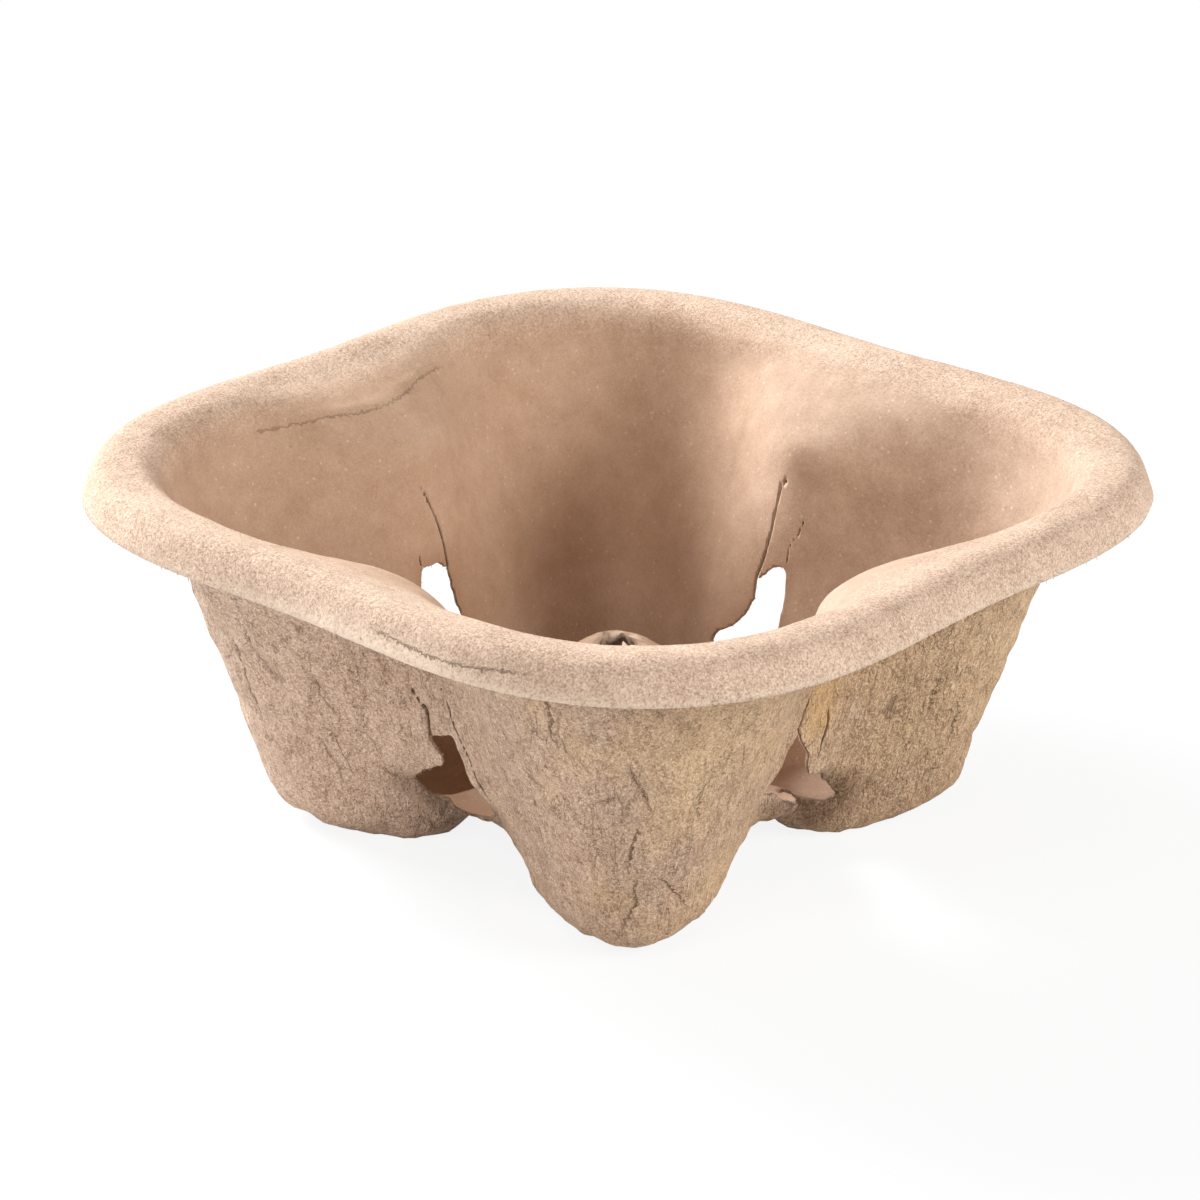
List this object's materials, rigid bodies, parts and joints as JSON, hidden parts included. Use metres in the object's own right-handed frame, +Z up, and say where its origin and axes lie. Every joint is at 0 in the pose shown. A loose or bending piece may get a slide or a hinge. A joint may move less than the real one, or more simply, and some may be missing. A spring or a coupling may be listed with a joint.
{
  "type": "cup carrier",
  "caption": "Moulded pulp drink carrier: deep open tray with a rolled flange, rounded cup pockets at the corners, pinched and torn sides, and a low post in the middle.",
  "frame": {"origin": "middle of the tray at the level its feet stand on", "axes": "+Z up, the tray's axis; the sides run along X and Y, the cup pockets point to the corners between them"},
  "size_m": [0.2192, 0.2192, 0.0931],
  "materials": {
    "pulp": "matt, fibrous"
  },
  "bodies": {
    "root": {"pulp_tray": "pulp"}
  },
  "joints": []
}
